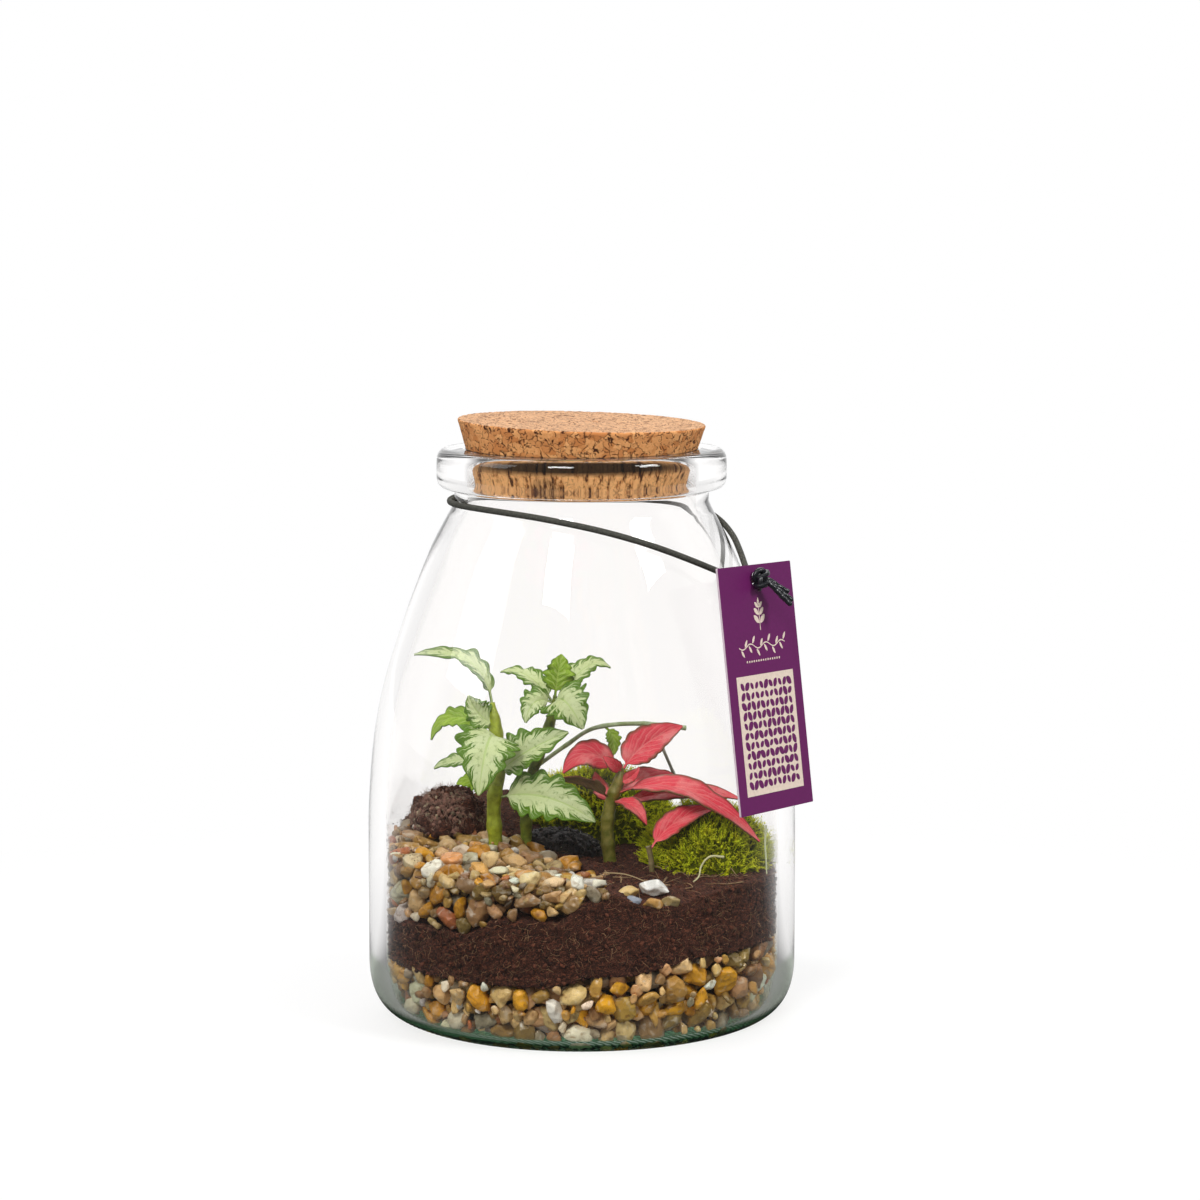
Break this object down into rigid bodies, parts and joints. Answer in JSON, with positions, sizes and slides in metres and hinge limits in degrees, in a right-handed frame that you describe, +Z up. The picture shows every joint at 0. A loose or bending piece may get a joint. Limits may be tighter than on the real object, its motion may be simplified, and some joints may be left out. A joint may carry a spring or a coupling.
{
  "type": "glass plant terrarium",
  "caption": "Clear glass jar with a cork stopper, planted with nerve plants and moss on layers of gravel and soil, with a card tag hung from a cord round its neck",
  "frame": {"origin": "centre of the jar's round foot, on the surface that it stands on", "axes": "+Z up along the jar's axis to the cork stopper; -Y is the front that shows both plants; +X is the side where the card tag hangs"},
  "size_m": [0.1661, 0.1606, 0.2246],
  "materials": {
    "clear_glass": "polished",
    "cork_grain": "matte",
    "cord_fibre": "matte",
    "tag_card": "satin",
    "gravel_stone": "satin",
    "dark_soil": "matte",
    "wet_roots": "satin",
    "green_moss": "matte",
    "green_stem": "satin",
    "dry_stalk": "matte",
    "white_veined_leaf": "satin",
    "red_veined_leaf": "satin",
    "pebble_white": "satin",
    "pebble_yellow": "satin",
    "pebble_grey": "satin",
    "pebble_orange": "satin",
    "pebble_olive": "satin"
  },
  "bodies": {
    "root": {"jar": "clear_glass", "cork_stopper": "cork_grain", "neck_cord": "cord_fibre", "cord_knot": "cord_fibre", "hang_tag": "tag_card", "drainage_gravel": "gravel_stone", "soil_bed": "dark_soil", "upper_gravel": "gravel_stone", "soil_mound": "dark_soil", "root_plug": "wet_roots", "moss_back": "green_moss", "moss_right": "green_moss", "stone_white": "pebble_white", "stone_yellow": "pebble_yellow", "stone_grey": "pebble_grey", "stone_orange": "pebble_orange", "stone_olive": "pebble_olive", "white_plant_stem_1": "green_stem", "white_plant_stem_2": "green_stem", "red_plant_stem": "green_stem", "red_plant_side_stem": "green_stem", "dried_stalk": "dry_stalk", "white_plant_branch": "green_stem", "red_leaf_back": "red_veined_leaf", "red_leaf_far_right": "red_veined_leaf", "red_leaf_large": "red_veined_leaf", "red_leaf_left_folded": "red_veined_leaf", "red_leaf_lower": "red_veined_leaf", "red_leaf_pale": "red_veined_leaf", "red_leaf_under": "red_veined_leaf", "red_leaf_upper_left": "red_veined_leaf", "red_leaf_upper_right": "red_veined_leaf", "red_leaf_young_left": "red_veined_leaf", "red_leaf_young_right": "red_veined_leaf", "white_leaf_back": "white_veined_leaf", "white_leaf_back_right": "white_veined_leaf", "white_leaf_branch": "white_veined_leaf", "white_leaf_front": "white_veined_leaf", "white_leaf_hanging": "white_veined_leaf", "white_leaf_left_dark": "white_veined_leaf", "white_leaf_left_low": "white_veined_leaf", "white_leaf_left_small": "white_veined_leaf", "white_leaf_low_front": "white_veined_leaf", "white_leaf_middle": "white_veined_leaf", "white_leaf_right": "white_veined_leaf", "white_leaf_top_left": "white_veined_leaf", "white_leaf_upper": "white_veined_leaf", "white_leaf_upright": "white_veined_leaf"}
  },
  "joints": []
}
